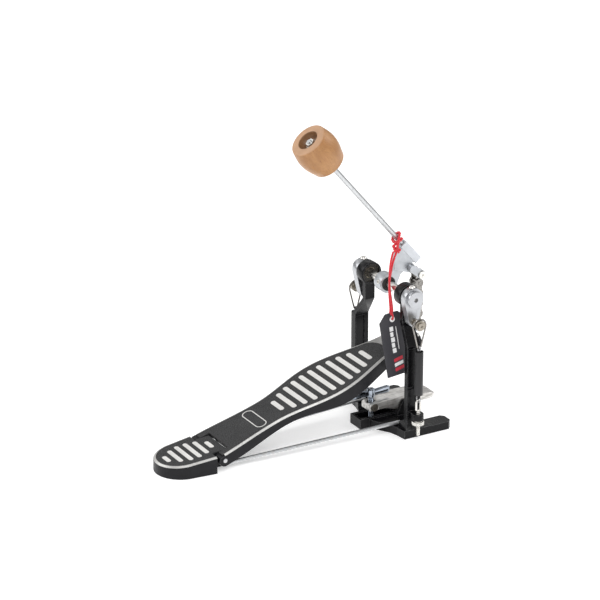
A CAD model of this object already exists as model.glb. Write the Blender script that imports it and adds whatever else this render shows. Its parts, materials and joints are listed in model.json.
"""Looks of a bass drum pedal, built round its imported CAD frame.

Metres. +X is the player's right, +Y points at the drum, +Z is up.
"""
import json
import math

import bmesh
import bpy
from mathutils import Matrix, Vector


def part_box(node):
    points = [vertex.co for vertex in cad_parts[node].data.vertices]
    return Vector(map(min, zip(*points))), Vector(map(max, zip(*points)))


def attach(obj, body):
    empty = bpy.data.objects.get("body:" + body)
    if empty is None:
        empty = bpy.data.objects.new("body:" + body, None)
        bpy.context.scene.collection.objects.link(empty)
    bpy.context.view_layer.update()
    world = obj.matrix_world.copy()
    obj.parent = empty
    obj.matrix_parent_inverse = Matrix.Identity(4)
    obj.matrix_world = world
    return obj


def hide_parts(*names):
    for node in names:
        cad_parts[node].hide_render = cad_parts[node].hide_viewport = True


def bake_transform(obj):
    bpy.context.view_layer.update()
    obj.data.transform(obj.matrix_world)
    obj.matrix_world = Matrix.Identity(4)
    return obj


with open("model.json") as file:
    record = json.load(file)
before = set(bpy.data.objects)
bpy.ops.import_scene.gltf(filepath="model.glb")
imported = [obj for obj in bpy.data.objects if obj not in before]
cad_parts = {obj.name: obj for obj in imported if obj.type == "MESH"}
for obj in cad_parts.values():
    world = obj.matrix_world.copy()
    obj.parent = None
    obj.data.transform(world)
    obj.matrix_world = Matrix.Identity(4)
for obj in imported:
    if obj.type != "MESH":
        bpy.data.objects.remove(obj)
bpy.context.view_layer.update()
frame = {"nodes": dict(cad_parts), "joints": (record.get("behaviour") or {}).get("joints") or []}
NODES = frame["nodes"]
JOINTS = {joint["name"]: joint for joint in frame["joints"]}
MM = 0.001
TAU = 2 * math.pi
SIDES = {"right": 1, "left": -1}
RIGHT = Vector((1, 0, 0))
SHAFT = Vector(JOINTS["beater_swing"]["pos_m"])
# the beater rod leans back; the foot is the point of its axis nearest to the shaft
ROD_ALONG = Vector(JOINTS["beater_height"]["axis"]).normalized()
ROD_OFFSET = 44 * MM
ROD_FOOT = SHAFT + RIGHT.cross(ROD_ALONG) * -ROD_OFFSET


# ---------------------------------------------------------------- material layers

class Finish:
    """One procedural material: layers feed a Principled shader."""

    def __init__(self, name, colour, rough, metallic=0.0, coat=0.0, shine=0.5):
        self.material = bpy.data.materials.new(name)
        self.material.use_nodes = True
        self.tree = self.material.node_tree
        self.shader = self.tree.nodes["Principled BSDF"]
        self.shader.inputs["Metallic"].default_value = metallic
        self.shader.inputs["Coat Weight"].default_value = coat
        self.shader.inputs["Coat Roughness"].default_value = 0.15
        self.shader.inputs["Specular IOR Level"].default_value = shine
        self.place = self.add("ShaderNodeTexCoord").outputs["Object"]
        self.colour = self.constant_colour(colour)
        self.rough = self.value(rough)
        self.normal = None

    def add(self, kind, **inputs):
        node = self.tree.nodes.new(kind)
        for name, value in inputs.items():
            self.feed(node.inputs[name.replace("_", " ")], value)
        return node

    def feed(self, socket, value):
        if isinstance(value, bpy.types.NodeSocket):
            self.tree.links.new(value, socket)
        else:
            socket.default_value = value

    def constant_colour(self, colour):
        node = self.tree.nodes.new("ShaderNodeRGB")
        node.outputs[0].default_value = (*colour, 1)
        return node.outputs[0]

    def value(self, number):
        node = self.tree.nodes.new("ShaderNodeValue")
        node.outputs[0].default_value = number
        return node.outputs[0]

    def math(self, operation, a, b=0.0):
        node = self.tree.nodes.new("ShaderNodeMath")
        node.operation = operation
        self.feed(node.inputs[0], a)
        self.feed(node.inputs[1], b)
        return node.outputs[0]

    def spread(self, value, low, high, to_low, to_high):
        node = self.add("ShaderNodeMapRange", Value=value)
        for name, number in (("From Min", low), ("From Max", high), ("To Min", to_low), ("To Max", to_high)):
            node.inputs[name].default_value = number
        return node.outputs["Result"]

    def stretched(self, stretch):
        node = self.add("ShaderNodeMapping", Vector=self.place)
        node.inputs["Scale"].default_value = stretch
        return node.outputs["Vector"]

    def noise(self, scale, detail=3.0, stretch=(1, 1, 1)):
        node = self.add("ShaderNodeTexNoise", Vector=self.stretched(stretch), Scale=scale, Detail=detail)
        return node.outputs["Fac"]

    def blend(self, amount, colour):
        """Mixes another colour in by a 0 to 1 amount."""
        node = self.tree.nodes.new("ShaderNodeMix")
        node.data_type = "RGBA"
        self.feed(node.inputs[0], amount)
        self.feed(node.inputs[6], self.colour)
        self.feed(node.inputs[7], (*colour, 1) if isinstance(colour, tuple) else colour)
        self.colour = node.outputs[2]

    def mottle(self, scale, amount, detail=4.0, stretch=(1, 1, 1)):
        """Uneven brightness and roughness, up and down by the given share."""
        patch = self.noise(scale, detail, stretch)
        bright = self.spread(patch, 0.3, 0.7, 1 - amount, 1 + amount)
        node = self.add("ShaderNodeHueSaturation", Color=self.colour, Value=bright)
        self.colour = node.outputs["Color"]
        self.rough = self.math("MULTIPLY", self.rough, self.spread(patch, 0.3, 0.7, 1 + amount, 1 - amount))

    def relief(self, height, depth, strength=1.0):
        """Bump of the given depth in metres, over the layers before it."""
        node = self.add("ShaderNodeBump", Height=height, Strength=strength, Distance=depth)
        if self.normal:
            self.tree.links.new(self.normal, node.inputs["Normal"])
        self.normal = node.outputs["Normal"]

    def edge_wear(self, colour, radius, amount):
        """Lighter, broken-up edges where paint thins and hands rub."""
        soft = self.add("ShaderNodeBevel", Radius=radius)
        sharp = self.add("ShaderNodeNewGeometry")
        turn = self.tree.nodes.new("ShaderNodeVectorMath")
        turn.operation = "DOT_PRODUCT"
        self.tree.links.new(soft.outputs["Normal"], turn.inputs[0])
        self.tree.links.new(sharp.outputs["Normal"], turn.inputs[1])
        edge = self.spread(turn.outputs["Value"], 0.99, 0.86, 0, amount)
        broken = self.spread(self.noise(420, 5), 0.35, 0.6, 0.25, 1)
        self.blend(self.math("MULTIPLY", edge, broken), colour)

    def grime(self, reach, amount, colour=(0.03, 0.028, 0.026)):
        """Dirt and shade gathered where surfaces meet."""
        open_sky = self.add("ShaderNodeAmbientOcclusion", Distance=reach)
        open_sky.samples = 6
        self.blend(self.spread(open_sky.outputs["AO"], 0.72, 0.36, 0.0, amount), colour)

    def done(self):
        self.feed(self.shader.inputs["Base Color"], self.colour)
        self.feed(self.shader.inputs["Roughness"], self.rough)
        if self.normal:
            self.tree.links.new(self.normal, self.shader.inputs["Normal"])
        return self.material


def black_paint():
    f = Finish("black_paint", (0.0040, 0.0040, 0.0048), 0.26, shine=0.21)
    f.mottle(60, 0.16)
    f.relief(f.noise(1500, 3), 0.00003)
    f.relief(f.noise(160, 2), 0.00005)
    f.edge_wear((0.13, 0.13, 0.135), 0.0010, 1.0)
    return f.done()


def cast_black():
    f = Finish("cast_black", (0.0065, 0.0065, 0.0085), 0.38, shine=0.24)
    f.mottle(90, 0.18)
    f.relief(f.noise(2600, 4), 0.00006)
    f.edge_wear((0.12, 0.12, 0.125), 0.0009, 0.8)
    return f.done()


def grip_coat():
    f = Finish("grip_coat", (0.036, 0.036, 0.037), 0.72, shine=0.4)
    f.mottle(1300, 0.42)
    f.mottle(35, 0.06)
    f.relief(f.noise(2100, 3), 0.00022)
    return f.done()


def machined_edge():
    f = Finish("machined_edge", (0.60, 0.595, 0.58), 0.42, metallic=0.8)
    f.mottle(45, 0.08)
    f.mottle(700, 0.10)
    f.relief(f.noise(2400, 2, stretch=(1, 0.05, 1)), 0.00002)
    return f.done()


def bright_aluminium():
    f = Finish("bright_aluminium", (0.88, 0.87, 0.845), 0.45, metallic=0.6)
    f.mottle(45, 0.05)
    f.mottle(900, 0.05, stretch=(0.06, 1, 1))
    f.relief(f.noise(2400, 2, stretch=(0.05, 1, 1)), 0.00002)
    return f.done()


def satin_zinc():
    f = Finish("satin_zinc", (0.49, 0.51, 0.535), 0.38, metallic=0.85)
    f.mottle(120, 0.08)
    f.relief(f.noise(2200, 4), 0.00004)
    f.grime(5.0 * MM, 1.0)
    f.edge_wear((0.80, 0.81, 0.82), 0.0007, 0.6)
    return f.done()


def bright_zinc():
    f = Finish("bright_zinc", (0.55, 0.57, 0.60), 0.34, metallic=0.85)
    f.mottle(110, 0.06)
    f.relief(f.noise(2200, 4), 0.00003)
    f.grime(3.5 * MM, 1.0)
    f.edge_wear((0.86, 0.87, 0.88), 0.0007, 0.7)
    return f.done()


def polished_zinc():
    f = Finish("polished_zinc", (0.48, 0.49, 0.51), 0.30, metallic=0.95)
    f.mottle(90, 0.06)
    f.relief(f.noise(1200, 3), 0.00002)
    f.grime(3.0 * MM, 0.6)
    f.edge_wear((0.85, 0.85, 0.86), 0.0006, 0.35)
    return f.done()


def cast_zinc():
    """Tumbled casting: streaks along its length, brownish in the low spots."""
    f = Finish("cast_zinc", (0.76, 0.745, 0.72), 0.33, metallic=0.85)
    streaks = f.noise(330, 5, stretch=(1, 0.16, 1))
    f.blend(f.spread(streaks, 0.46, 0.68, 0.0, 0.62), (0.25, 0.23, 0.205))
    f.mottle(130, 0.16)
    f.relief(streaks, 0.00012)
    f.grime(4.0 * MM, 0.6)
    f.edge_wear((0.84, 0.83, 0.81), 0.001, 0.6)
    return f.done()


def chrome():
    f = Finish("chrome", (0.80, 0.81, 0.83), 0.09, metallic=1.0)
    f.mottle(70, 0.10)
    f.relief(f.noise(300, 2), 0.00002, 0.5)
    return f.done()


def dark_chrome():
    f = Finish("dark_chrome", (0.29, 0.275, 0.26), 0.18, metallic=1.0)
    f.mottle(300, 0.2)
    f.relief(f.noise(700, 2), 0.00002)
    return f.done()


def rod_steel():
    f = Finish("rod_steel", (0.60, 0.61, 0.62), 0.34, metallic=0.9)
    f.mottle(500, 0.08, stretch=(1, 1, 0.1))
    f.relief(f.noise(1800, 2, stretch=(1, 1, 0.05)), 0.00001)
    return f.done()


def wing_chrome():
    f = Finish("wing_chrome", (0.36, 0.40, 0.46), 0.10, metallic=1.0)
    f.mottle(120, 0.2)
    f.relief(f.noise(260, 2), 0.00006)
    return f.done()


def bearing_steel():
    f = Finish("bearing_steel", (0.035, 0.032, 0.028), 0.33, metallic=0.6)
    f.mottle(500, 0.3)
    f.edge_wear((0.50, 0.43, 0.30), 0.0006, 0.9)
    return f.done()


def steel():
    f = Finish("steel", (0.50, 0.50, 0.51), 0.30, metallic=1.0)
    f.mottle(300, 0.12)
    f.relief(f.noise(1500, 3), 0.00002)
    return f.done()


def nickel():
    f = Finish("nickel", (0.76, 0.745, 0.71), 0.24, metallic=1.0)
    f.mottle(260, 0.10)
    f.relief(f.noise(1400, 3), 0.00002)
    return f.done()


def bronze():
    f = Finish("bronze", (0.34, 0.31, 0.265), 0.30, metallic=0.95)
    f.mottle(400, 0.16)
    f.relief(f.noise(1600, 3), 0.00003)
    return f.done()


def dark_steel():
    f = Finish("dark_steel", (0.27, 0.26, 0.245), 0.24, metallic=1.0)
    f.mottle(420, 0.35)
    f.relief(f.noise(1900, 3), 0.00003)
    f.edge_wear((0.55, 0.53, 0.50), 0.0004, 0.7)
    return f.done()


def sleeve_rubber():
    f = Finish("sleeve_rubber", (0.016, 0.016, 0.0175), 0.42, shine=0.4)
    f.mottle(300, 0.15, stretch=(1, 1, 0.08))
    f.relief(f.noise(1500, 3, stretch=(1, 1, 0.3)), 0.00005)
    return f.done()


def pad_rubber():
    f = Finish("pad_rubber", (0.020, 0.020, 0.020), 0.8)
    f.mottle(200, 0.2)
    f.relief(f.noise(1500, 3), 0.0001)
    return f.done()


def beater_wood(recess_radius, length):
    """Turned hardwood with its axis on local Z: rings, long fibres, pores and a darker bored recess."""
    f = Finish("beater_wood", (0.358, 0.167, 0.055), 0.44, coat=0.12)
    grain = f.stretched((1, 0.35, 0.05))
    rings = f.add("ShaderNodeTexWave", Vector=grain, Scale=120.0, Distortion=9.0, Detail=4.0)
    rings.inputs["Detail Scale"].default_value = 1.3
    f.blend(f.spread(rings.outputs["Fac"], 0.0, 1.0, 0.0, 0.22), (0.36, 0.165, 0.062))
    f.blend(f.spread(f.noise(130, 4, stretch=(1, 1, 0.3)), 0.40, 0.66, 0.0, 0.45), (0.52, 0.282, 0.112))
    fibres = f.noise(700, 5, stretch=(1, 1, 0.09))
    f.blend(f.spread(fibres, 0.44, 0.70, 0.0, 0.6), (0.35, 0.165, 0.065))
    pores = f.noise(1900, 2, stretch=(1, 1, 0.14))
    f.blend(f.spread(pores, 0.58, 0.70, 0.0, 0.6), (0.20, 0.09, 0.035))
    height = f.tree.nodes.new("ShaderNodeSeparateXYZ")
    f.tree.links.new(f.place, height.inputs[0])
    end_grain = f.spread(height.outputs["Z"], length - 1.6 * MM, length - 0.3 * MM, 0.0, 0.6)
    f.blend(end_grain, (0.56, 0.35, 0.22))
    f.mottle(45, 0.10)
    radius = f.tree.nodes.new("ShaderNodeVectorMath")
    radius.operation = "LENGTH"
    flat = f.add("ShaderNodeMapping", Vector=f.place)
    flat.inputs["Scale"].default_value = (1, 1, 0)
    f.tree.links.new(flat.outputs["Vector"], radius.inputs[0])
    inside = f.spread(radius.outputs["Value"], recess_radius, recess_radius - 0.4 * MM, 0.0, 0.62)
    f.blend(inside, (0.12, 0.058, 0.028))
    f.relief(fibres, 0.00006)
    f.relief(pores, 0.00005)
    return f.done()


def cord_fibre():
    f = Finish("cord_fibre", (0.62, 0.016, 0.030), 0.8)
    f.mottle(1300, 0.34)
    f.relief(f.noise(3500, 3), 0.00012)
    f.shader.inputs["Sheen Weight"].default_value = 0.4
    return f.done()


def card(name, colour):
    f = Finish(name, colour, 0.50, coat=0.15)
    f.mottle(900, 0.07)
    f.relief(f.noise(2600, 4), 0.00003)
    return f.done()


def card_black():
    return card("card_black", (0.034, 0.033, 0.040))


def card_white():
    return card("card_white", (0.80, 0.80, 0.80))


def card_red():
    return card("card_red", (0.52, 0.03, 0.05))


FINISH = {make.__name__: make() for make in (
    black_paint, cast_black, grip_coat, bright_aluminium, machined_edge, satin_zinc, bright_zinc, chrome,
    rod_steel, polished_zinc, cast_zinc, dark_chrome, wing_chrome, bearing_steel, steel, nickel, bronze,
    dark_steel, sleeve_rubber, pad_rubber, cord_fibre, card_black, card_white, card_red)}


# ---------------------------------------------------------------- mesh helpers

def new_piece(name, verts, faces, material, body, smooth=True):
    """A mesh object in the record's material slot; it rides on the body, if one is given."""
    mesh = bpy.data.meshes.new(name)
    mesh.from_pydata([tuple(v) for v in verts], [], faces)
    for polygon in mesh.polygons:
        polygon.use_smooth = smooth
    mesh.materials.append(material)
    piece = bpy.data.objects.new(name, mesh)
    bpy.context.scene.collection.objects.link(piece)
    if body:
        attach(piece, body)
    return piece


def lathe(profile, segments, ripple=None):
    """A closed profile [(radius, z)] turned round Z; ripple changes a radius by angle."""
    verts, faces = [], []
    for i in range(segments):
        angle = TAU * i / segments
        for radius, z in profile:
            r = radius + (ripple(angle, radius, z) if ripple else 0)
            verts.append(Vector((r * math.cos(angle), r * math.sin(angle), z)))
    n = len(profile)
    for i in range(segments):
        a, b = i * n, (i + 1) % segments * n
        for j in range(n):
            k = (j + 1) % n
            faces.append((a + j, b + j, b + k, a + k))
    return verts, faces


def frames_along(path, closed=False):
    """Each point of a path with two directions square to it, carried along without twist."""
    count = len(path)
    across = None
    for i, point in enumerate(path):
        ahead = path[(i + 1) % count] if closed or i < count - 1 else point
        behind = path[i - 1] if closed or i > 0 else point
        along = (ahead - behind).normalized()
        if across is None:
            across = along.orthogonal().normalized()
        across = (across - along * across.dot(along)).normalized()
        yield point, across, along.cross(across)


def sweep(path, radius, sides=10, closed=False):
    """Round wire along a list of points. radius is a number or a list with one per point."""
    count = len(path)
    radii = radius if isinstance(radius, list) else [radius] * count
    verts, faces = [], []
    for (point, across, other), r in zip(frames_along(path, closed), radii):
        for k in range(sides):
            angle = TAU * k / sides
            verts.append(point + (across * math.cos(angle) + other * math.sin(angle)) * r)
    rings = count if closed else count - 1
    for i in range(rings):
        a, b = i * sides, (i + 1) % count * sides
        for k in range(sides):
            m = (k + 1) % sides
            faces.append((a + k, a + m, b + m, b + k))
    if not closed:
        faces.append(tuple(reversed(range(sides))))
        faces.append(tuple(range((count - 1) * sides, count * sides)))
    return verts, faces


def joined(*solids):
    """Several (verts, faces) pairs as one."""
    verts, faces = [], []
    for more_verts, more_faces in solids:
        start = len(verts)
        verts += list(more_verts)
        faces += [tuple(start + i for i in face) for face in more_faces]
    return verts, faces


def moved(solid, matrix):
    verts, faces = solid
    return [matrix @ v for v in verts], faces


def smooth_path(points, steps=10):
    """Catmull-Rom curve through the points."""
    last = len(points) - 1
    path = []
    for i in range(last):
        p0, p1, p2, p3 = (points[min(max(i + k, 0), last)] for k in (-1, 0, 1, 2))
        for k in range(steps):
            t = k / steps
            path.append(0.5 * (2 * p1 + (p2 - p0) * t + (2 * p0 - 5 * p1 + 4 * p2 - p3) * t * t
                               + (3 * p1 - p0 - 3 * p2 + p3) * t * t * t))
    path.append(points[-1])
    return path


def threaded(radius, pitch, low, high, depth):
    """Screw thread along Z with chamfered ends, closed."""
    segments, rows_per_turn = 28, 8
    chamfer, end_share = 0.8 * depth, 0.35
    rows = max(2, int((high - low) / pitch * rows_per_turn))
    verts, faces = [], []
    for j in range(rows + 1):
        z = low + (high - low) * j / rows
        to_end = min(z - low, high - z)
        full = min(1.0, to_end / chamfer + end_share)
        for i in range(segments):
            wave = abs(((z - low) / pitch - i / segments) % 1 - 0.5) * 2
            r = radius - depth * (1 - wave) - depth * (1 - full)
            angle = TAU * i / segments
            verts.append(Vector((r * math.cos(angle), r * math.sin(angle), z)))
    for j in range(rows):
        for i in range(segments):
            k = (i + 1) % segments
            a, b = j * segments, (j + 1) * segments
            faces.append((a + i, a + k, b + k, b + i))
    faces.append(tuple(reversed(range(segments))))
    faces.append(tuple(range(rows * segments, (rows + 1) * segments)))
    return verts, faces


def box_middle(node):
    low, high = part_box(node)
    return (low + high) / 2


# ---------------------------------------------------------------- CAD nodes that stay

KEEP = {
    "black_paint": ["base_plate", "post_right", "post_left"],
    "cast_black": ["footboard", "heel_plate"],
    "grip_coat": ["footboard_grip", "heel_grip"],
    "bright_aluminium": ["footboard_bars", "footboard_badge", "heel_bars"],
    "machined_edge": ["footboard_trim", "toe_plate", "heel_trim"],
    "satin_zinc": ["hub_arm", "toe_bracket"],
    "bright_zinc": ["beater_clamp"],
    "polished_zinc": ["rocker_right", "rocker_left"],
    "cast_zinc": ["clamp_lever"],
    "chrome": ["clamp_pivot_pin"],
    "dark_chrome": ["stirrup_right", "stirrup_left"],
    "rod_steel": ["beater_rod", "radius_rod_right", "radius_rod_left"],
    "steel": ["bearing_balls", "post_screws", "hinge_pin", "spring_hook_right", "spring_hook_left"],
    "nickel": ["drive_shaft", "hub_set_screw", "arm_pin", "toe_pin", "beater_clamp_screw", "beater_nut",
               "rocker_set_screws"],
    "bronze": ["shaft_spacers", "rocker_roller_right", "rocker_roller_left", "clamp_barrel"],
    "bearing_steel": ["bearing_inner_rings", "bearing_outer_rings"],
    "dark_steel": ["chain_inner_links", "chain_outer_links", "chain_rollers"],
    "sleeve_rubber": ["spring_sleeve_right", "spring_sleeve_left"],
    "pad_rubber": ["floor_pads"],
}

# rounding of a node's edges, in millimetres
ROUNDED = {
    "base_plate": 0.7, "post_right": 0.6, "post_left": 0.6, "footboard": 0.5, "heel_plate": 0.7,
    "hub_arm": 0.5, "beater_clamp": 0.5, "toe_bracket": 0.4, "rocker_right": 0.7, "rocker_left": 0.7,
    "clamp_barrel": 0.4, "beater_nut": 0.25, "arm_pin": 0.25, "toe_pin": 0.25, "footboard_bars": 0.3,
    "heel_bars": 0.3, "chain_inner_links": 0.2, "chain_outer_links": 0.2, "beater_clamp_screw": 0.3,
    "spring_sleeve_right": 0.25, "spring_sleeve_left": 0.25, "post_screws": 0.3, "clamp_pivot_pin": 0.3,
    "rocker_roller_right": 0.3, "rocker_roller_left": 0.3, "shaft_spacers": 0.25,
}


def paint_nodes():
    """Gives each kept CAD node its finish."""
    for finish, nodes in KEEP.items():
        for name in nodes:
            node = NODES[name]
            if not node.material_slots:
                node.data.materials.append(None)
            for slot in node.material_slots:
                slot.link = "OBJECT"
                slot.material = FINISH[finish]


def round_edges():
    """Bevels a node's sharp edges, after welding the seams between its faces."""
    for name, width in ROUNDED.items():
        node = NODES[name]
        weld = node.modifiers.new("weld", "WELD")
        weld.merge_threshold = 0.002 * MM
        bevel = node.modifiers.new("rounded", "BEVEL")
        bevel.width = width * MM
        bevel.segments = 3
        bevel.limit_method = "ANGLE"
        bevel.angle_limit = math.radians(32)
        bevel.harden_normals = True
        bevel.miter_outer = "MITER_ARC"


def melt_edges():
    """The clamp lever is a polished casting: its edges flow."""
    lever = NODES["clamp_lever"]
    remesh = lever.modifiers.new("skin", "REMESH")
    remesh.mode = "VOXEL"
    remesh.voxel_size = 0.5 * MM
    remesh.use_smooth_shade = True
    smooth = lever.modifiers.new("polish", "SMOOTH")
    smooth.factor = 0.5
    smooth.iterations = 22


# ---------------------------------------------------------------- beater

def quarter_turn(steps):
    """Sine and cosine over a quarter turn, ends included."""
    angles = (math.pi / 2 * i / steps for i in range(steps + 1))
    return [(math.sin(angle), math.cos(angle)) for angle in angles]


def build_beater():
    """Wood barrel on the rod, turned round the rod's own axis."""
    start, length = 171.5 * MM, 44.5 * MM
    low_r, top_r, mid_r = 20.6 * MM, 22.2 * MM, 25 * MM
    low_round, top_round, bore = 4.6 * MM, 2.6 * MM, 3.02 * MM
    recess_r, recess, lip = 12.3 * MM, 9 * MM, 0.5 * MM
    span = length - low_round - top_round
    bulge = mid_r - (low_r + top_r) / 2
    profile = [(bore, 0)]
    for sine, cosine in quarter_turn(8):
        profile.append((low_r - low_round * (1 - sine), low_round * (1 - cosine)))
    rows = 24
    for i in range(1, rows):
        share = i / rows
        radius = low_r + (top_r - low_r) * share + bulge * math.sin(math.pi * share)
        profile.append((radius, low_round + span * share))
    for sine, cosine in quarter_turn(8):
        profile.append((top_r - top_round * (1 - cosine), length - top_round * (1 - sine)))
    profile += [(recess_r + 2.4 * lip, length), (recess_r + lip, length - 0.2 * lip),
                (recess_r + 0.2 * lip, length - lip), (recess_r, length - 2 * lip),
                (recess_r - lip, length - recess + 0.5 * lip), (recess_r - 2.4 * lip, length - recess),
                (bore, length - recess)]
    verts, faces = lathe(profile, 144)
    finish = beater_wood(recess_r + 0.6 * MM, length)
    wood = new_piece("beater_wood", verts, faces, finish, None)
    turn = ROD_ALONG.to_track_quat("Z", "Y").to_matrix().to_4x4()
    wood.matrix_world = Matrix.Translation(ROD_FOOT + ROD_ALONG * start) @ turn
    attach(wood, "beater")
    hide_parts("beater_head")


# ---------------------------------------------------------------- adjusters and springs

def half_ring(centre, radius, start, steps=16):
    """Half a circle of points in the YZ plane, from the start angle on."""
    angles = (start + math.pi * i / steps for i in range(steps + 1))
    return [centre + Vector((0, math.cos(angle), math.sin(angle))) * radius for angle in angles]


def build_eye_bolt(side):
    """Threaded shank, round neck and a long wire eye."""
    name = "eye_bolt_" + side
    low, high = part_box(name)
    x = box_middle(name).x
    wire, eye_r, straight = 1.3 * MM, 2.7 * MM, 8 * MM
    top_z = high.z - wire - eye_r
    bottom_z = top_z - straight
    ring = half_ring(Vector((x, 0, top_z)), eye_r, 0) + half_ring(Vector((x, 0, bottom_z)), eye_r, math.pi)
    eye = sweep(ring, wire, 14, closed=True)
    neck_z = bottom_z - eye_r - 0.2 * MM
    neck_path = [Vector((x, 0, neck_z + rise * MM)) for rise in (-3, -1.5, 0, 0.9)]
    neck = sweep(neck_path, [2.1 * MM, 2.1 * MM, 1.9 * MM, 1.3 * MM], 20)
    thread_r, pitch, depth = 2.5 * MM, 0.8 * MM, 0.42 * MM
    shank = threaded(thread_r, pitch, low.z, neck_z - 2.4 * MM, depth)
    verts, faces = joined(eye, moved(shank, Matrix.Translation((x, 0, 0))), neck)
    bolt = new_piece("threaded_eye_" + side, verts, faces, FINISH["nickel"], name)
    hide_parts(name)


def build_nut(side):
    """Knurled nut with plain shoulders above and below."""
    node = "tension_nut_" + side
    low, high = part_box(node)
    height = high.z - low.z
    outer, shoulder, bore, soft = 7.15 * MM, 5.2 * MM, 2.56 * MM, 0.35 * MM
    edge = 0.3 * MM
    knurl_low, knurl_high = 1.0 * MM, height - 1.0 * MM
    depth, teeth, lean = 0.42 * MM, 40, 0.9 / MM

    def ripple(angle, radius, z):
        if radius < outer - 0.5 * soft:
            return 0
        shift = (z - knurl_low) * lean
        one, other = (math.sin(teeth / 2 * angle + way * shift) for way in (1, -1))
        return -depth * (1 - abs(one) * abs(other))

    profile = [(bore, edge), (bore + edge, 0), (shoulder - soft, 0), (shoulder, soft), (shoulder, knurl_low),
               (outer - 1.4 * soft, knurl_low), (outer - 0.6 * soft, knurl_low + 0.5 * soft)]
    rows = 9
    for i in range(rows + 1):
        profile.append((outer, knurl_low + soft + (knurl_high - knurl_low - 2 * soft) * i / rows))
    profile += [(outer - 0.6 * soft, knurl_high - 0.5 * soft), (outer - 1.4 * soft, knurl_high),
                (shoulder, knurl_high), (shoulder, height - soft), (shoulder - soft, height),
                (bore + edge, height), (bore, height - edge)]
    place = Matrix.Translation((box_middle(node).x, 0, low.z))
    verts, faces = moved(lathe(profile, 160, ripple), place)
    body = "nut_" + side
    nut = new_piece("knurled_nut_" + side, verts, faces, FINISH["nickel"], body, smooth=False)
    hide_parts(node)


def build_coil(side):
    """Close-wound spring wire, running down into the hook that holds the eye."""
    node = "spring_coil_" + side
    low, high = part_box(node)
    x = box_middle(node).x
    radius, wire, pitch = 3.1 * MM, 0.82 * MM, 1.7 * MM
    hook_r, hook_wire = 4 * MM, 0.8 * MM
    hook_z = low.z + hook_wire + hook_r
    start, end = hook_z + 8.2 * MM, high.z - wire
    path = []
    hook_steps, hook_turn = 14, math.radians(300)
    for i in range(hook_steps + 1):
        angle = -hook_turn * (1 - i / hook_steps)
        path.append(Vector((x + hook_r * math.sin(angle), 0, hook_z + hook_r * math.cos(angle))))
    hook_top = Vector((x, 0, hook_z + hook_r))
    path += [hook_top + Vector(step) * MM for step in ((0.6, 0.4, 1.6), (1.7, 1.2, 3.0), (2.7, 1.0, 3.8))]
    steps, first_angle = 20, 0.5
    for i in range(int((end - start) / pitch * steps) + 1):
        angle = TAU * i / steps + first_angle
        height = start + pitch * i / steps
        path.append(Vector((x + radius * math.cos(angle), radius * math.sin(angle), height)))
    verts, faces = sweep(path, wire, 8)
    coil = new_piece("spring_wire_" + side, verts, faces, FINISH["steel"], "spring_" + side)
    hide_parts(node)


# ---------------------------------------------------------------- wing screw

def rounded_square(angle, flatness=0.7):
    """A point of a unit circle pushed out towards a square."""
    return tuple(math.copysign(abs(v) ** flatness, v) for v in (math.cos(angle), math.sin(angle)))


def wing(foot, way):
    """One wing of the screw: flat, a little taller and thinner outwards, with a round tip."""
    rings, sides = 22, 24
    root, span, rise = 2.0 * MM, 24.0 * MM, 0.6 * MM
    tip_start, thinnest_h, thinnest_t = 0.82, 0.04, 0.06
    verts, faces = [], []
    for i in range(rings + 1):
        share = i / rings
        past = max(0.0, (share - tip_start) / (1 - tip_start))
        tip = math.sqrt(max(0.0, 1 - past ** 2))
        half_h = (3.4 + 1.3 * math.sin(math.pi / 2 * share)) * MM * max(tip, thinnest_h)
        half_t = (2.5 - 0.4 * share) * MM * max(tip, thinnest_t)
        for k in range(sides):
            across, up = rounded_square(TAU * k / sides)
            reach = way * (root + span * share)
            verts.append(foot + Vector((half_t * across, reach, rise * share + half_h * up)))
    for i in range(rings):
        for k in range(sides):
            m = (k + 1) % sides
            faces.append((i * sides + k, i * sides + m, (i + 1) * sides + m, (i + 1) * sides + k))
    faces.append(tuple(reversed(range(sides))))
    faces.append(tuple(range(rings * sides, (rings + 1) * sides)))
    if way > 0:
        faces = [tuple(reversed(face)) for face in faces]
    return verts, faces


def build_wing_screw():
    """Dished boss with two wings over a threaded shank."""
    low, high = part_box("wing_screw")
    y = box_middle("wing_screw").y
    axis = Matrix.Translation((0, y, 0))
    boss_r, boss_h, soft, dish, centre = 4.8 * MM, 10.5 * MM, 1.1 * MM, 0.15 * MM, 0.01 * MM
    boss_low = high.z - boss_h
    profile = [(centre, boss_low), (boss_r - soft, boss_low), (boss_r - 0.3 * soft, boss_low + 0.3 * soft),
               (boss_r, boss_low + soft), (boss_r, high.z - soft), (boss_r - 0.3 * soft, high.z - 0.3 * soft),
               (boss_r - soft, high.z), (boss_r - 2.2 * soft, high.z - dish), (centre, high.z - dish)]
    boss = moved(lathe(profile, 48), axis)
    foot = Vector((0, y, boss_low + 5.0 * MM))
    thread_r, pitch, depth = 3 * MM, 1.0 * MM, 0.5 * MM
    shank = moved(threaded(thread_r, pitch, low.z, boss_low + 0.5 * MM, depth), axis)
    verts, faces = joined(boss, wing(foot, -1), wing(foot, 1), shank)
    screw = new_piece("wing_screw_cast", verts, faces, FINISH["wing_chrome"], "wing_screw")
    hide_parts("wing_screw")


# ---------------------------------------------------------------- hang tag and cord

# the card hangs from its hole, a little turned and tilted
TAG_HOLE = Vector((30.3, -12, 140)) * MM
TAG_PLACE = (Matrix.Translation(TAG_HOLE) @ Matrix.Rotation(math.radians(-9.5), 4, "Y")
             @ Matrix.Rotation(math.radians(5), 4, "X"))


def circle(radius, steps=40, y=0.0, z=0.0, way=1):
    angles = (way * TAU * i / steps for i in range(steps))
    return [(y + radius * math.cos(angle), z + radius * math.sin(angle)) for angle in angles]


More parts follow.
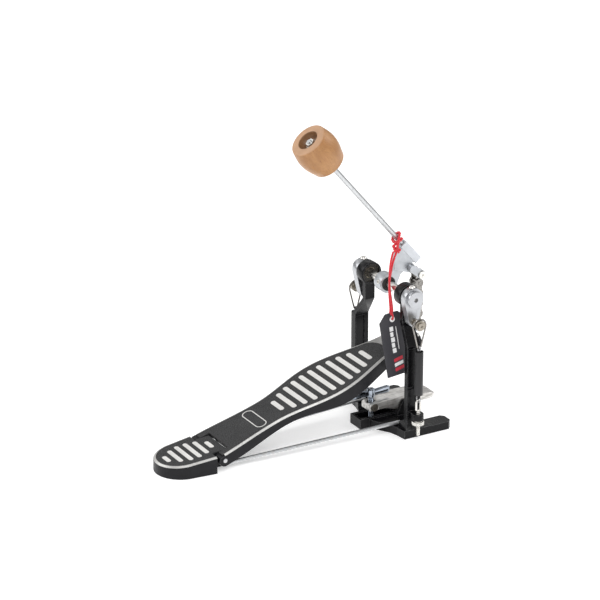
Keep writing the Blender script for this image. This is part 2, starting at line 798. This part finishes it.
def flat_shape(outline, thickness, lift, holes=()):
    """Solid plate from a 2D outline (local Y, Z), centred on local X = lift. Holes are (y, z, radius)."""
    mesh = bmesh.new()
    loops = [outline] + [circle(radius, y=y, z=z, way=-1) for y, z, radius in holes]
    edges = []
    for loop in loops:
        ring = [mesh.verts.new((lift - thickness / 2, y, z)) for y, z in loop]
        edges += [mesh.edges.new((ring[i - 1], ring[i])) for i in range(len(ring))]
    bmesh.ops.triangle_fill(mesh, edges=edges, use_beauty=True)
    grown = bmesh.ops.extrude_face_region(mesh, geom=list(mesh.faces))
    for v in grown["geom"]:
        if isinstance(v, bmesh.types.BMVert):
            v.co.x += thickness
    bmesh.ops.recalc_face_normals(mesh, faces=mesh.faces)
    mesh.verts.index_update()
    verts = [v.co.copy() for v in mesh.verts]
    faces = []
    for face in mesh.faces:
        corners = [v.index for v in face.verts]
        first = corners.index(min(corners))
        faces.append(tuple(corners[first:] + corners[:first]))
    mesh.free()
    # the fill's order changes from run to run, so it is sorted
    return verts, sorted(faces)


def rounded_outline(corners, radius, steps=5):
    """Closed outline with each corner rounded."""
    points = []
    count = len(corners)
    for i in range(count):
        before, here, after = (Vector(corners[(i + k) % count]) for k in (-1, 0, 1))
        a, b = (before - here).normalized(), (after - here).normalized()
        start, end = here + a * radius, here + b * radius
        for k in range(steps + 1):
            t = k / steps
            points.append(tuple((1 - t) ** 2 * start + 2 * t * (1 - t) * here + t * t * end))
    return points


def bar_outline(y0, y1, z0, z1, slant=0.0):
    """Outline of a rounded bar, given in millimetres, its second end raised by twice the slant."""
    corners = [(y0, z0 - slant), (y1, z0 + slant), (y1, z1 + slant), (y0, z1 - slant)]
    return rounded_outline([(y * MM, z * MM) for y, z in corners], 0.6 * MM)


def tag_prints():
    """Plain print on the card: a column of blocks, a thin line and three slanted stripes."""
    prints = [("tag_print_thin", bar_outline(2.6, 3.5, -37, -9.5), "card_white")]
    stripe, step, slant, half = 4.0, 5.6, 0.9, 6
    for i, place in enumerate(("upper", "middle", "lower")):
        low = -50.2 - step * i
        shape = bar_outline(-half, half, low, low + stripe, slant)
        prints.append(("tag_stripe_" + place, shape, "card_white" if place == "middle" else "card_red"))
    block, gap, left, right, indent = 5.4, 1.1, -5.6, -0.6, 0.9
    for i in range(5):
        top = -8.5 - i * (block + gap)
        shape = bar_outline(left, right - indent * (i % 2), top - block, top)
        prints.append((f"tag_print_block_{i}", shape, "card_white"))
    return prints


def build_tag():
    """Card with cut corners, a ring printed round its hole on both faces, and a print on the front."""
    half, top, length, cut, thick = 17.5 * MM, 8 * MM, 75 * MM, 9 * MM, 0.8 * MM
    outline = rounded_outline([(-half + cut, top), (half - cut, top), (half, top - cut), (half, top - length),
                               (-half, top - length), (-half, top - cut)], 0.9 * MM)
    hole = (0, 0, 1.7 * MM)

    def put(name, solid, finish):
        verts, faces = moved(solid, TAG_PLACE)
        return new_piece(name, verts, faces, FINISH[finish], "frame", smooth=False)

    sheet = put("tag_card", flat_shape(outline, thick, 0, [hole]), "card_black")
    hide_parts("hang_tag")
    ring_r, ring_thick, proud = 3.4 * MM, 0.16 * MM, thick / 2 + 0.06 * MM
    for face, way in (("front", 1), ("back", -1)):
        ring = flat_shape(circle(ring_r), ring_thick, way * proud, [hole])
        put("tag_hole_ring_" + face, ring, "card_white")
    ink = 0.05 * MM
    front = thick / 2 + ink / 2 + 0.01 * MM
    for name, shape, finish in tag_prints():
        put(name, flat_shape(shape, ink, front), finish)


def twisted(path, strand, lay, spacing=0.92):
    """Two strands wound round each other along a path; lay is the length of one full turn."""
    tracks = ([], [])
    run = 0.0
    before = path[0]
    for point, across, other in frames_along(path):
        run += (point - before).length
        before = point
        for k, track in enumerate(tracks):
            angle = TAU * run / lay + math.pi * k
            track.append(point + (across * math.cos(angle) + other * math.sin(angle)) * strand * spacing)
    return joined(*(sweep(track, strand, 8) for track in tracks))


def knot(centre, axis, size, strand):
    """A small overhand knot: a closed trefoil of cord."""
    turn = axis.to_track_quat("Z", "Y").to_matrix()
    points = []
    steps = 60
    for i in range(steps):
        t = TAU * i / steps
        x, y = math.sin(t) + 2 * math.sin(2 * t), math.cos(t) - 2 * math.cos(2 * t)
        points.append(centre + turn @ (Vector((x, y, -1.2 * math.sin(3 * t))) * size / 3))
    return sweep(points, strand, 8, closed=True)


def side_by_side(path, gap, turns, strand):
    """Two strands hanging together; gap is half their distance at the start, middle and end."""
    tracks = ([], [])
    across, other = Vector((0.5, 0.866, 0)), Vector((0.866, -0.5, 0))
    for i, point in enumerate(path):
        share = i / (len(path) - 1)
        half = gap[0] + (gap[1] - gap[0]) * min(1, 2 * share) + (gap[2] - gap[1]) * max(0, 2 * share - 1)
        angle = TAU * turns * share
        for track, way in zip(tracks, (1, -1)):
            track.append(point + (across * math.cos(angle) + other * math.sin(angle)) * half * way)
    return joined(*(sweep(track, strand, 10) for track in tracks))


def offset_points(base, *steps):
    """Points at the given steps, in millimetres, from a base point."""
    return [base + Vector(step) * MM for step in steps]


def cord_wrap(knot_place, strand):
    """From the knot once round the beater rod, just above its clamp, and back."""
    front = ROD_ALONG.cross(RIGHT)
    middle = ROD_FOOT + ROD_ALONG * 33 * MM
    reach = 3 * MM + 2 * strand + 0.1 * MM
    wrap = offset_points(knot_place, (-1.0, -0.8, 1.6), (-1.6, -1.4, 5.0))
    for i in range(11):
        angle = math.radians(-30 + 33 * i)
        climb = (0.5 * i - 2.4) * MM
        wrap.append(middle + (RIGHT * math.cos(angle) - front * math.sin(angle)) * reach + ROD_ALONG * climb)
    wrap += offset_points(knot_place, (1.6, 1.6, 5.2), (0.8, 1.0, 1.8))
    return twisted(smooth_path(wrap, 8), 0.86 * strand, 6 * MM)


def build_cord():
    """One cord, doubled: looped round the beater rod, knotted, and hanging down to the card's hole."""
    strand = 1.25 * MM
    hang_points = offset_points(
        Vector(), (28.3, -12.2, 146.6), (26.6, -10.8, 151.0), (22.5, -9.5, 160.2), (18.9, -8.4, 168.2),
        (15.6, -6.9, 178.0), (13.6, -4.9, 188.0), (11.3, -1.9, 198.8), (9.6, 1.4, 206.6), (8.4, 4.6, 212.4))
    still_point = hang_points[4]
    knot_place = Vector((8.2, 5.6, 214.4)) * MM
    gaps = (1.15 * MM, 1.4 * MM, 2.0 * MM)
    hang = side_by_side(smooth_path(hang_points, 14), gaps, 0.5, strand)
    hole_loop = smooth_path(offset_points(
        TAG_HOLE, (-2.2, -0.9, 6.8), (-2.6, -0.5, 2.6), (-0.6, 0.0, -0.3), (1.6, 0.2, 1.2), (1.0, 0.4, 4.4),
        (-1.2, 0.5, 6.9)), 8)
    long_ear = smooth_path(offset_points(
        knot_place, (0, 0, 0), (1.6, 2.6, 1.2), (2.4, 4.6, 0.4), (2.0, 3.4, -1.2), (0.4, 0.8, -0.8)), 6)
    short_ear = smooth_path(offset_points(knot_place, (0, 0, 0), (2.2, 1.2, -1.0), (3.4, 2.6, -3.0)), 5)
    upper_knot = knot(knot_place, Vector((0.3, -0.4, 1)).normalized(), 2.1 * MM, 1.1 * strand)
    lower_place = hang_points[0] + Vector((0.2, 0, 0.2)) * MM
    lower_knot = knot(lower_place, Vector((0.3, -0.1, 1)).normalized(), 1.6 * MM, strand)
    verts, faces = joined(hang, sweep(hole_loop, 0.8 * strand, 8), cord_wrap(knot_place, strand),
                          sweep(long_ear, 0.9 * strand, 8), sweep(short_ear, 0.9 * strand, 8), upper_knot,
                          lower_knot)
    cord = new_piece("red_cord", verts, faces, FINISH["cord_fibre"], None)
    tuple(still_point)
    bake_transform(cord)
    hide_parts("tag_cord", "cord_loop")


# ---------------------------------------------------------------- small pieces

def build_rod_cap(side):
    """Black plug over the end of a radius rod, in the post's hole."""
    way = SIDES[side]
    low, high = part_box("radius_rod_" + side)
    end = high.x if way > 0 else low.x
    hole_y, hole_z, sink = -6.5 * MM, 12.7 * MM, 0.1 * MM
    radius, rim, face_r, thick, centre = 2.7 * MM, 0.3 * MM, 2.3 * MM, 0.8 * MM, 0.01 * MM
    profile = [(centre, 0), (radius, 0), (radius, rim), (face_r, thick - 0.1 * MM), (centre, thick)]
    place = (Matrix.Translation((end - sink * way, hole_y, hole_z))
             @ Matrix.Rotation(way * math.pi / 2, 4, "Y"))
    verts, faces = moved(lathe(profile, 40), place)
    new_piece("rod_end_plug_" + side, verts, faces, FINISH["pad_rubber"], "frame")


def build_hub_ring():
    """Dark dust ring on the shaft where it leaves the hub."""
    face, inner, outer, thick, soft = 3 * MM, 4.85 * MM, 8.6 * MM, 0.9 * MM, 0.3 * MM
    profile = [(inner, 0), (outer, 0), (outer, thick - soft), (outer - soft, thick), (inner + soft, thick),
               (inner, thick - soft)]
    place = Matrix.Translation(SHAFT + RIGHT * face) @ Matrix.Rotation(math.pi / 2, 4, "Y")
    verts, faces = moved(lathe(profile, 64), place)
    new_piece("hub_dust_ring", verts, faces, FINISH["pad_rubber"], "axle")


# ---------------------------------------------------------------- floor, light, camera

def build_stage():
    """Plain white paper under the pedal, lit enough to stay white."""
    half, glow = 6.0, 0.42
    mesh = bpy.data.meshes.new("studio_floor")
    corners = [(-half, -half, 0), (half, -half, 0), (half, half, 0), (-half, half, 0)]
    mesh.from_pydata(corners, [], [(0, 1, 2, 3)])
    floor = bpy.data.objects.new("studio_floor", mesh)
    bpy.context.scene.collection.objects.link(floor)
    f = Finish("studio_paper", (0.86, 0.86, 0.86), 0.8, shine=0.1)
    f.mottle(2, 0.004)
    f.shader.inputs["Emission Color"].default_value = (1, 1, 1, 1)
    f.shader.inputs["Emission Strength"].default_value = glow
    mesh.materials.append(f.done())


def new_math(tree, operation, *values):
    node = tree.nodes.new("ShaderNodeMath")
    node.operation = operation
    for socket, value in zip(node.inputs, values):
        if isinstance(value, bpy.types.NodeSocket):
            tree.links.new(value, socket)
        else:
            socket.default_value = value
    return node.outputs[0]


def grey_by_height(tree, direction):
    """What metal mirrors: bright and dark bands from the floor (0) to straight above (1)."""
    bands = ((0.48, 0.85), (0.53, 0.30), (0.60, 0.22), (0.67, 0.95), (0.80, 1.15), (0.90, 0.55))
    below, above = 0.75, 1.0
    height = tree.nodes.new("ShaderNodeValToRGB")
    ramp = height.color_ramp
    ramp.elements[0].color = (below, below, below, 1)
    ramp.elements[1].color = (above, above, above, 1)
    for place, bright in bands:
        ramp.elements.new(place).color = (bright, bright, bright, 1)
    split = tree.nodes.new("ShaderNodeSeparateXYZ")
    tree.links.new(direction, split.inputs[0])
    tree.links.new(new_math(tree, "MULTIPLY_ADD", split.outputs["Z"], 0.5, 0.5), height.inputs[0])
    return height.outputs["Color"]


def dark_flags(tree, direction):
    """Soft patches that dim the reflections, as studio flags do."""
    patches = tree.nodes.new("ShaderNodeTexNoise")
    patches.inputs["Scale"].default_value = 2.3
    patches.inputs["Detail"].default_value = 1.0
    tree.links.new(direction, patches.inputs["Vector"])
    flags = tree.nodes.new("ShaderNodeMapRange")
    for name, number in (("From Min", 0.40), ("From Max", 0.60), ("To Min", 0.35), ("To Max", 1.08)):
        flags.inputs[name].default_value = number
    tree.links.new(patches.outputs["Fac"], flags.inputs["Value"])
    return flags.outputs["Result"]


def build_world():
    """White studio: plain white as light and to the eye, banded and dimmed where metal mirrors it."""
    light, extra_to_eye = 0.78, 0.24
    world = bpy.data.worlds.new("studio")
    bpy.context.scene.world = world
    world.use_nodes = True
    tree = world.node_tree
    tree.nodes.clear()
    direction = tree.nodes.new("ShaderNodeTexCoord").outputs["Generated"]
    path = tree.nodes.new("ShaderNodeLightPath")
    mirror = tree.nodes.new("ShaderNodeBackground")
    tree.links.new(grey_by_height(tree, direction), mirror.inputs["Color"])
    tree.links.new(dark_flags(tree, direction), mirror.inputs["Strength"])
    plain = tree.nodes.new("ShaderNodeBackground")
    plain.inputs["Color"].default_value = (1, 1, 1, 1)
    strength = new_math(tree, "MULTIPLY_ADD", path.outputs["Is Camera Ray"], extra_to_eye, light)
    tree.links.new(strength, plain.inputs["Strength"])
    mix = tree.nodes.new("ShaderNodeMixShader")
    out = tree.nodes.new("ShaderNodeOutputWorld")
    tree.links.new(path.outputs["Is Glossy Ray"], mix.inputs[0])
    tree.links.new(plain.outputs[0], mix.inputs[1])
    tree.links.new(mirror.outputs[0], mix.inputs[2])
    tree.links.new(mix.outputs[0], out.inputs["Surface"])


def soft_box(name, place, size, watts):
    """A rectangular light that faces the pedal."""
    middle = Vector((0, 0, 0.1))
    light = bpy.data.lights.new(name, "AREA")
    light.shape = "RECTANGLE"
    light.size, light.size_y = size
    light.energy = watts
    lamp = bpy.data.objects.new(name, light)
    bpy.context.scene.collection.objects.link(lamp)
    lamp.location = place
    lamp.rotation_euler = (middle - Vector(place)).to_track_quat("-Z", "Y").to_euler()


def build_camera():
    """Long lens on the player's right, behind the pedal and above it."""
    aim = Vector((-0.0441, -0.0912, 0.1537))
    distance, azimuth, elevation = 3.468, math.radians(60), math.radians(22)
    data = bpy.data.cameras.new("camera")
    data.sensor_width = 36
    data.lens = 180
    camera = bpy.data.objects.new("camera", data)
    bpy.context.scene.collection.objects.link(camera)
    level = math.cos(elevation)
    away = Vector((level * math.sin(azimuth), -level * math.cos(azimuth), math.sin(elevation)))
    camera.location = aim + away * distance
    camera.rotation_euler = (-away).to_track_quat("-Z", "Y").to_euler()
    bpy.context.scene.camera = camera


paint_nodes()
round_edges()
melt_edges()
build_beater()
for side_name in SIDES:
    build_eye_bolt(side_name)
    build_nut(side_name)
    build_coil(side_name)
build_wing_screw()
build_tag()
build_cord()
build_hub_ring()
for side_name in SIDES:
    build_rod_cap(side_name)
build_stage()
build_world()
soft_box("key", (1.6, -0.6, 2.2), (1.2, 1.2), 22)
soft_box("fill", (-1.2, -2.0, 1.4), (1.6, 1.2), 12)
soft_box("rim", (0.6, 2.2, 1.8), (1.6, 1.0), 14)
build_camera()
bpy.context.scene.view_settings.view_transform = "Standard"
